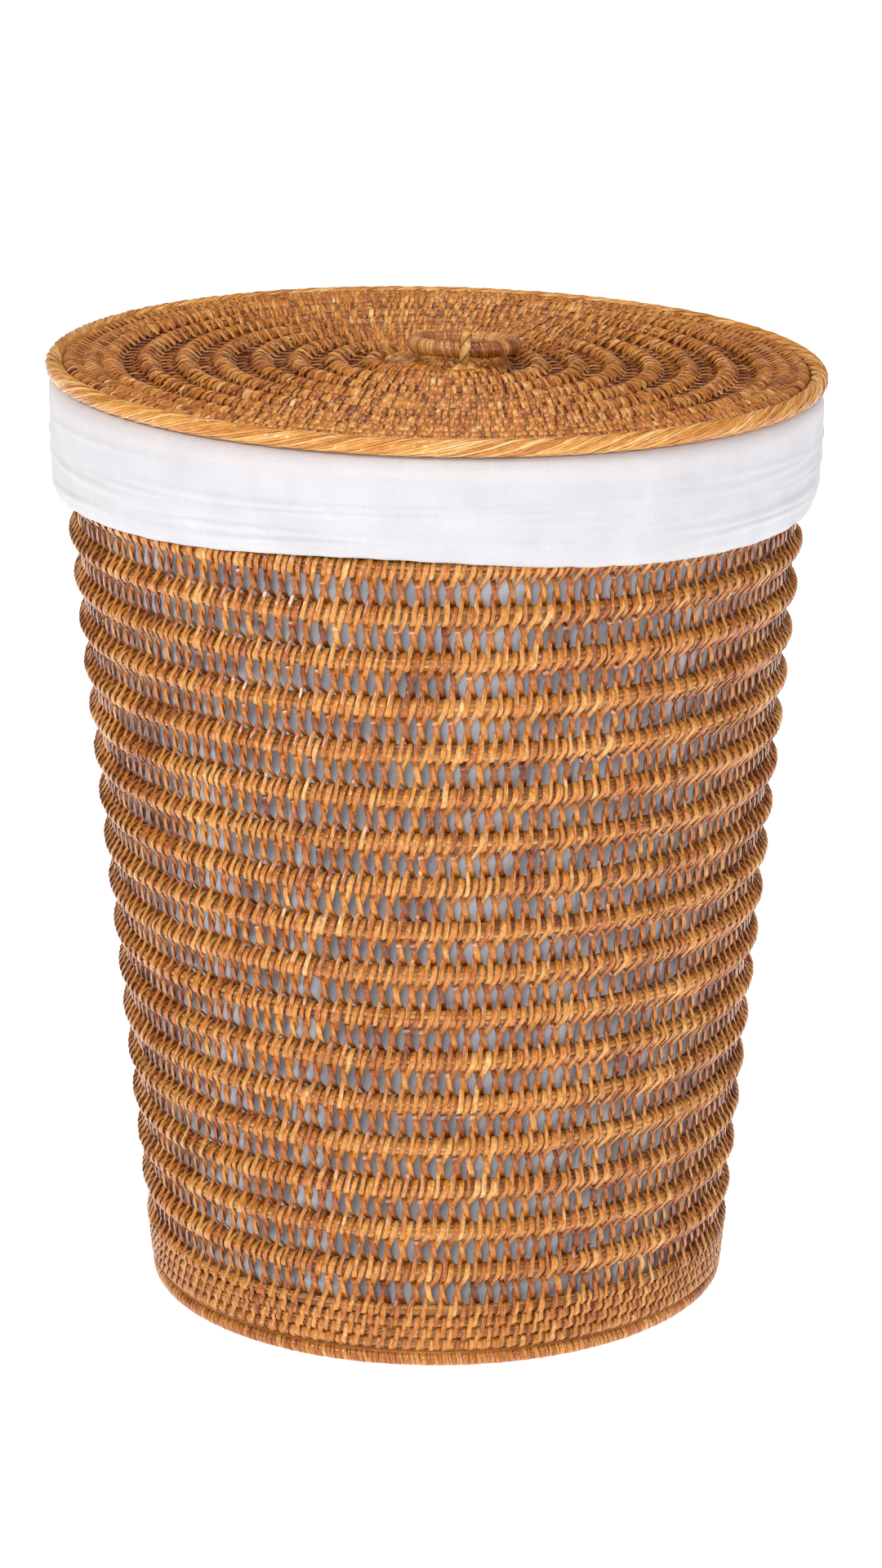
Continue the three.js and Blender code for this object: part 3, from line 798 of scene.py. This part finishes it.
def build_lid():
    rings = [lid_coil(radius) for radius in LID_RINGS]
    borders = [lid_coil(radius, LID_BORDER_CORE) for radius in LID_BORDER_RINGS]
    below = lid_coil(LID_CENTRE_RINGS[-1], 2.9 * MM)
    centre = [round_reeds(lid_coil(radius, LID_CENTRE_CORE), 40, 5) for radius in LID_CENTRE_RINGS]
    reed_piece("lid_centre", centre, "lid", "lid_centre")
    fans = lid_fans(inner=3.6 * MM, outer=31.5 * MM, count=34, swirl=-0.5)
    cane_piece("lid_centre_cane", fans, "lid", "lid_centre")
    for number, (radius, ring) in enumerate(zip(LID_RINGS, rings), 1):
        name = f"lid_coil_{number}"
        reed_piece(name, round_reeds(ring, 48 + 12 * number, 8), "lid", name)
        angle = evenly(radius - LID_PITCH / 2, 9.4 * MM)
        parts = crossing_strands(below, ring, angle, LID_STRIPS, -1, depth=0.7)
        parts.append(wraps(ring, radius, 4.7 * MM, 3.3 * MM))
        cane_piece(f"{name}_lacing", parts, "lid", "lid_lacing")
        below = ring
    for number, (radius, ring) in enumerate(zip(LID_BORDER_RINGS, borders), 1):
        name = f"lid_border_coil_{number}"
        reed_piece(name, round_reeds(ring, 150, 8), "lid", name)
        angle = evenly(radius, 6.4 * MM, 0.5 * number)
        parts = [close_strips(below, ring, angle, 3.2 * MM, 0.9 * MM, -1)]
        parts.append(wraps(ring, radius, 3.6 * MM, 3.2 * MM))
        cane_piece(f"{name}_lacing", parts, "lid", "lid_lacing")
        below = ring
    core = round_reeds(lid_coil(LID_ROPE_RADIUS, LID_ROPE_CORE), 180, 7)
    reed_piece("lid_rope_border", core, "lid", "lid_rope_border_core")
    rope = rope_strands()
    piece("lid_rope_border_cane", rope, rope_cane, "lid", ["lid_rope_border_binding"])


# ---------------- the ring handle and its tie
def handle_frame():
    """The ring's centre and its axes: to the right, away from the tie, and up out of its plane."""
    drop = TIE[2] - LID_TOP - HANDLE_TUBE - 0.3 * MM
    recline = math.asin(drop / (2 * HANDLE_RADIUS))
    c, s = math.cos(recline), math.sin(recline)
    right, away, up = np.array([1.0, 0, 0]), np.array([0, c, -s]), np.array([0, s, c])
    return TIE + HANDLE_RADIUS * away, right, away, up


def turn_tilted(vectors):
    """Directions from the lid's level frame to the basket's."""
    return tilted(np.asarray(vectors) + [0, 0, TOP_PIVOT]) - [0, 0, TOP_PIVOT]


def build_handle():
    centre, right, away, up = handle_frame()
    count = 96
    edges = np.cumsum(random.uniform(0.5, 1.5, count))
    angle = TURN * edges / (edges[-1] + 1)
    spacing = np.diff(np.append(angle, angle[0] + TURN))
    middle = angle + spacing / 2
    out = np.cos(middle)[:, None] * right + np.sin(middle)[:, None] * away
    forward = -np.sin(middle)[:, None] * right + np.cos(middle)[:, None] * away
    axis = np.broadcast_to(up, out.shape)
    tone = np.clip(random.normal(0.45, 0.2, count) + 0.2 * np.sin(2 * middle), 0, 1)
    widths = spacing * HANDLE_RADIUS * 1.15
    rings = bands(tilted(centre + HANDLE_RADIUS * out), turn_tilted(out), turn_tilted(axis),
                  turn_tilted(forward), HANDLE_TUBE - 0.5 * MM, widths, tone, 1.1 * MM)
    piece("handle_ring_cane", rings, handle_cane, "ring_handle", ["handle_ring_binding"])

    angle = np.linspace(0, TURN, 72, endpoint=False)
    out = np.cos(angle)[:, None] * right + np.sin(angle)[:, None] * away
    tone = np.repeat(random.uniform(0.1, 0.8, 6), 4)[None, None]
    radius = HANDLE_TUBE - 0.7 * MM
    path = tilted(centre + HANDLE_RADIUS * out)[None]
    core = strips(path, turn_tilted(out)[None], 2 * radius, radius, tone, reed_section(6), closed=True)
    reed_piece("handle_ring", core, "ring_handle", "handle_ring_core")


def tie_loop():
    """Three strips twisted together, looped over the ring."""
    around = np.linspace(math.radians(-118), math.radians(232), 49)
    loop = TIE + np.stack([0.8 * np.sin(around), -7.7 * np.cos(around), 1.2 + 8.2 * np.sin(around)], -1) * MM
    across = np.array([1.0, 0, 0])
    ahead = np.gradient(loop, axis=0)
    ahead /= np.linalg.norm(ahead, axis=-1, keepdims=True)
    face = np.cross(ahead, across)
    twist = np.linspace(0, 2.1 * TURN, len(around))
    parts = []
    for strand in range(3):
        phase = twist + strand * TURN / 3
        offset = 1.9 * MM * (np.cos(phase)[:, None] * across + np.sin(phase)[:, None] * face)
        side = turn_tilted(-np.sin(phase)[:, None] * across + np.cos(phase)[:, None] * face)[None]
        parts.append(strips(tilted(loop + offset)[None], side, 4.9 * MM, 1.3 * MM, [0.85 - 0.15 * strand]))
    return parts


def tie_foot():
    """The strips' ends, spread over the lid in front of the ring."""
    t = np.linspace(0, 1, 9)[:, None]
    ends = []
    for spread in np.linspace(-1, 1, 9):
        start = np.array([TIE[0] + spread * 1.8 * MM, TIE[1] - 3.2 * MM, 571.5 * MM])
        reach = np.array([spread * 8.5, -6.5 + 2.2 * abs(spread), -5.0]) * MM
        sag = np.array([0, 0, -2.2 * MM])
        ends.append(start + reach * t + sag * np.sin(math.pi * t))
    paths = tilted(np.stack(ends))
    sides = np.broadcast_to([1.0, 0, 0], paths.shape)
    widths = np.linspace(1.6, 3.0, 9)[None] * MM
    return strips(paths, sides, widths, CANE, random.uniform(0.45, 0.95, 9))


def build_tie():
    piece("handle_tie_cane", tie_loop() + [tie_foot()], rope_cane, "lid", ["handle_tie"])


# ---------------- the cotton liner
def shell(outer, cloth, warm):
    """A cloth of two faces from a grid of points (rows, columns, 3) that closes round the basket."""
    rows, columns = outer.shape[:2]
    along = np.roll(outer, -1, 1) - np.roll(outer, 1, 1)
    down = np.gradient(outer, axis=0)
    normal = np.cross(along, down)
    normal /= np.linalg.norm(normal, axis=-1, keepdims=True)
    both = np.stack([outer, outer - normal * CLOTH])
    index = np.arange(2 * rows * columns).reshape(2, rows, columns)

    def faces(grid, flip):
        a, b = grid[:-1], grid[1:]
        quads = np.stack([a, np.roll(a, -1, 1), np.roll(b, -1, 1), b], -1).reshape(-1, 4)
        return quads[:, ::-1] if flip else quads

    quads = [faces(index[0], False), faces(index[1], True),
             faces(np.stack([index[1, 0], index[0, 0]]), False),
             faces(np.stack([index[0, -1], index[1, -1]]), False)]
    attributes = {"cloth": np.concatenate([cloth.reshape(-1, 3)] * 2),
                  "warm": np.concatenate([warm.reshape(-1)] * 2)}
    return both.reshape(-1, 3), np.concatenate(quads), attributes


def folds(angle, height, phase_drift, lowest, highest, sharpness):
    """Soft upright folds, from 0 to 1, that wander a little on their way down."""
    total = np.zeros(np.broadcast_shapes(angle.shape, height.shape))
    for wave in range(lowest, highest + 1):
        phase = random.uniform(0, TURN) + phase_drift * random.normal() * height
        total = total + random.normal() * np.cos(wave * angle + phase)
    total = total / math.sqrt((highest - lowest + 1) / 2)
    return 1 / (1 + np.exp(-sharpness * total))


def cloth_piece(name, part, material, nodes):
    return piece(name, part, material, "liner", nodes, sharp=80)


def build_liner_bag():
    angle = np.linspace(0, TURN, 400, endpoint=False)[None]
    share = np.linspace(0, 1, 60)[:, None]                    # from the rim down
    high = BAG_HIGH - math.tan(TOP_TILT) * 208 * MM * np.cos(angle)
    height = high + (BAG_LOW - high) * share
    depth = 13 * MM * np.clip(share * 3, 0, 1) * folds(angle, height, 4, 5, 22, 2.2)
    radius = wall_radius(height) - BAG_INSET - depth * np.clip((1 - share) * 14, 0.25, 1)
    points = round_axis(angle, np.stack([radius, height], -1), on_lid=False)
    cloth = np.stack([angle * 200 + 0 * height, height / MM, 0 * height], -1)
    bag = shell(points[::-1], cloth[::-1], np.zeros(height.shape))
    obj = cloth_piece("liner_bag", bag, bag_cotton_painted_lighter, ["liner_bag_wall"])


def build_liner_bottom():
    """A round sheet with low puckers, from a square grid drawn out to a disc."""
    size, count = wall_radius(BAG_FLOOR) - 17.6 * MM, 90
    line = np.linspace(-1, 1, count)
    u, v = np.meshgrid(line, line)
    x, y = size * u * np.sqrt(1 - v * v / 2), size * v * np.sqrt(1 - u * u / 2)
    height = BAG_FLOOR + 1 * MM + 1.2 * MM * (np.sin(31 * x + 9 * y + 1) * np.sin(27 * y - 14 * x) + 1)
    points = np.stack([x, y, height], -1)
    index = np.arange(2 * count * count).reshape(2, count, count)
    a, b = index
    top = np.stack([a[:-1, :-1], a[:-1, 1:], a[1:, 1:], a[1:, :-1]], -1).reshape(-1, 4)
    under = np.stack([b[:-1, :-1], b[1:, :-1], b[1:, 1:], b[:-1, 1:]], -1).reshape(-1, 4)
    side = np.arange(count - 1)
    last = count - 1
    ring = np.concatenate([side, last + count * side, count * count - 1 - side, count * (last - side)])
    near, far = ring + count * count, np.roll(ring, -1)
    edge = np.stack([ring, near, far + count * count, far], -1)
    both = np.concatenate([points.reshape(-1, 3), points.reshape(-1, 3) - [0, 0, CLOTH]])
    cloth = np.concatenate([np.stack([x, y, 0 * x], -1).reshape(-1, 3) / MM] * 2)
    disc = (both, np.concatenate([top, under, edge]), {"cloth": cloth, "warm": np.zeros(len(both))})
    obj = cloth_piece("liner_bottom", disc, cotton, ["liner_bag_bottom"])


# The cuff's section from inside the rim, over it and down to the hem: distance from the axis and height.
CUFF_PROFILE = np.array([
    (208.6, 547), (209.4, 552.6), (211.8, 555.6), (216.5, 556.7), (221.5, 556.4), (225.6, 554.2),
    (227.3, 549.5), (227.6, 543), (227.4, 535), (227.2, 526), (226.6, 517), (225.6, 508), (224.6, 501),
    (223.4, 495.5), (221.8, 492.2), (219.6, 491.3)]) * MM
CUFF_HIGH_AT = math.radians(262)  # the cuff is shortest a little left of the front
CUFF_RAISED = 9.5  # by this much there, in millimetres
CUFF_LOWERED = 3  # and longer by this much elsewhere


def cuff_section():
    """Even steps along the smoothed profile: the distance run, the radius and the height."""
    run = np.concatenate([[0], np.cumsum(np.linalg.norm(np.diff(CUFF_PROFILE, axis=0), axis=-1))])
    spot = np.linspace(0, run[-1], 74)[:, None]
    made = [np.interp(spot, run, CUFF_PROFILE[:, axis]) for axis in (0, 1)]
    for values in made * 2:
        values[1:-1] = (values[:-2] + 2 * values[1:-1] + values[2:]) / 4
    return spot, *made


def cuff_creases(share, angle):
    """Sixteen long creases across the cuff, each over part of the way round."""
    total = np.zeros(np.broadcast_shapes(share.shape, angle.shape))
    for _ in range(16):
        middle = random.uniform(0.45, 0.97) + 0.04 * np.sin(angle + random.uniform(0, 6))
        middle = middle + 0.02 * np.sin(4 * angle + random.uniform(0, 6))
        window = np.clip(np.cos(random.integers(2, 7) * angle + random.uniform(0, 6)), 0, 1) ** 1.5
        total = total + random.uniform(0.3, 1.3) * window * np.exp(-((share - middle) / 0.018) ** 2)
    return total


def build_cuff():
    angle = np.linspace(0, TURN, 480, endpoint=False)[None]
    spot, radius, height = cuff_section()
    share = spot / spot[-1]
    outside = np.clip((share - 0.3) * 6, 0, 1)
    creases = cuff_creases(share, angle)
    gathers = folds(angle, height, 20, 20, 60, 1.2) * np.clip((share - 0.86) * 8, 0, 1)
    swell = wander(angle, 0.7, 2, 7)
    radius = radius + (swell * outside + 0.9 * creases * outside - 1.4 * gathers) * MM
    front = np.remainder(angle - CUFF_HIGH_AT + math.pi, TURN) - math.pi
    raised = CUFF_RAISED * np.exp(-(front / 0.62) ** 2) - CUFF_LOWERED + wander(angle, 0.7, 2, 9)
    height = height + raised * np.clip((share - 0.35) / 0.6, 0, 1) * MM
    radius = radius + 1.6 * MM * np.cos(angle) ** 4 * np.clip((share - 0.6) * 3, 0, 1)
    step_height = 543 + 1.5 * np.sin(3 * angle + 1) + 0.8 * np.sin(7 * angle)
    over_rim = np.clip((height / MM - step_height) / 1.5, 0, 1) * np.clip((share - 0.22) * 30, 0, 1)
    points = round_axis(angle, np.stack([radius, height], -1), on_lid=True)
    cloth = np.stack([angle * 226 + 0 * height, spot / MM + 0 * angle, 0 * height], -1)
    # where the cloth lies over the rim, a painted tint of the cane as if seen through it
    part = shell(points, cloth, 0.13 * over_rim)
    obj = cloth_piece("liner_cuff_cloth", part, cotton, ["liner_cuff", "liner_hem"])


build_open_rows()
build_dense_rows()
build_rim_lacing()
foot = Coil(level(FOOT_RADIUS), level(FOOT_HEIGHT), FOOT_CORE)
build_hoop("foot_hoop", foot, 2.7 * MM, "basket", "foot_hoop_core", "foot_hoop_binding")
build_hoop("rim_hoop", rim, 4 * MM, "basket", "rim_hoop_core", "rim_hoop_binding")
build_base()
build_lid()
locating_ring = Coil(level(LOCATING_RADIUS), level(LOCATING_HEIGHT), LOCATING_CORE, on_lid=True)
build_hoop("lid_locating_ring", locating_ring, 4 * MM, "lid", "lid_locating_ring", "lid_locating_ring")
build_handle()
build_tie()
build_liner_bag()
build_liner_bottom()
build_cuff()


# ---------------- scene
def add_stage():
    """A white floor that glows a little, so that it stays white round the basket."""
    bpy.ops.mesh.primitive_plane_add(size=40, location=(0, 0, 0))
    floor = bpy.context.object
    floor.name = "floor"
    n = Nodes("floor")
    n.even({"Base Color": (0.9, 0.9, 0.9, 1), "Roughness": 0.9,
            "Emission Color": (1, 1, 1, 1), "Emission Strength": 0.8})
    floor.data.materials.append(n.material)


def add_light(name, place, aim_height, size, power, colour=(1, 1, 1)):
    """A round soft light, aimed at the basket's axis."""
    data = bpy.data.lights.new(name, "AREA")
    data.shape = "DISK"
    data.size = size
    data.energy = power
    data.color = colour
    light = bpy.data.objects.new(name, data)
    light.location = place
    direction = light.location - Vector((0, 0, aim_height))
    light.rotation_euler = direction.to_track_quat("Z", "Y").to_euler()
    bpy.context.scene.collection.objects.link(light)
    return light


def add_lights():
    add_light("key", (-2.3, -2.0, 2.3), 0.3, 0.7, 54, (1.0, 0.98, 0.96))
    add_light("front", (-0.3, -3.2, 1.6), 0.3, 0.8, 33, (1.0, 0.99, 0.98))
    add_light("side", (2.6, -1.3, 1.5), 0.3, 0.8, 27, (0.97, 0.98, 1.0))
    add_light("top", (0.2, -0.3, 3.0), 0.5, 1.6, 38)
    back = add_light("back", (-0.8, 2.8, 1.6), 0.3, 1.2, 16)
    back.visible_glossy = False       # or it would shine off the far side of the lid


def add_camera():
    """The photo's view: from the front, looking down a little."""
    data = bpy.data.cameras.new("camera")
    data.sensor_width = 36
    data.lens = 111.9
    data.clip_end = 100
    camera = bpy.data.objects.new("camera", data)
    camera.location = (0.0027, -2.824, 1.135)
    camera.rotation_euler = (math.radians(90 - 16.37), 0, 0)
    bpy.context.scene.collection.objects.link(camera)
    bpy.context.scene.camera = camera


def add_world():
    """Soft white light from all round. The background is seen as pure white, and casts less than that."""
    world = bpy.data.worlds.new("studio")
    bpy.context.scene.world = world
    world.use_nodes = True
    tree = world.node_tree
    cast = tree.nodes["Background"]
    cast.inputs["Color"].default_value = (0.97, 0.98, 1, 1)
    cast.inputs["Strength"].default_value = 0.24
    seen = tree.nodes.new("ShaderNodeBackground")
    seen.inputs["Color"].default_value = (1, 1, 1, 1)
    seen.inputs["Strength"].default_value = 1.0
    either = tree.nodes.new("ShaderNodeMixShader")
    rays = tree.nodes.new("ShaderNodeLightPath")
    tree.links.new(rays.outputs["Is Camera Ray"], either.inputs["Fac"])
    tree.links.new(cast.outputs[0], either.inputs[1])
    tree.links.new(seen.outputs[0], either.inputs[2])
    tree.links.new(either.outputs[0], tree.nodes["World Output"].inputs["Surface"])


add_stage()
add_camera()
add_lights()
add_world()
bpy.context.scene.view_settings.view_transform = "Standard"
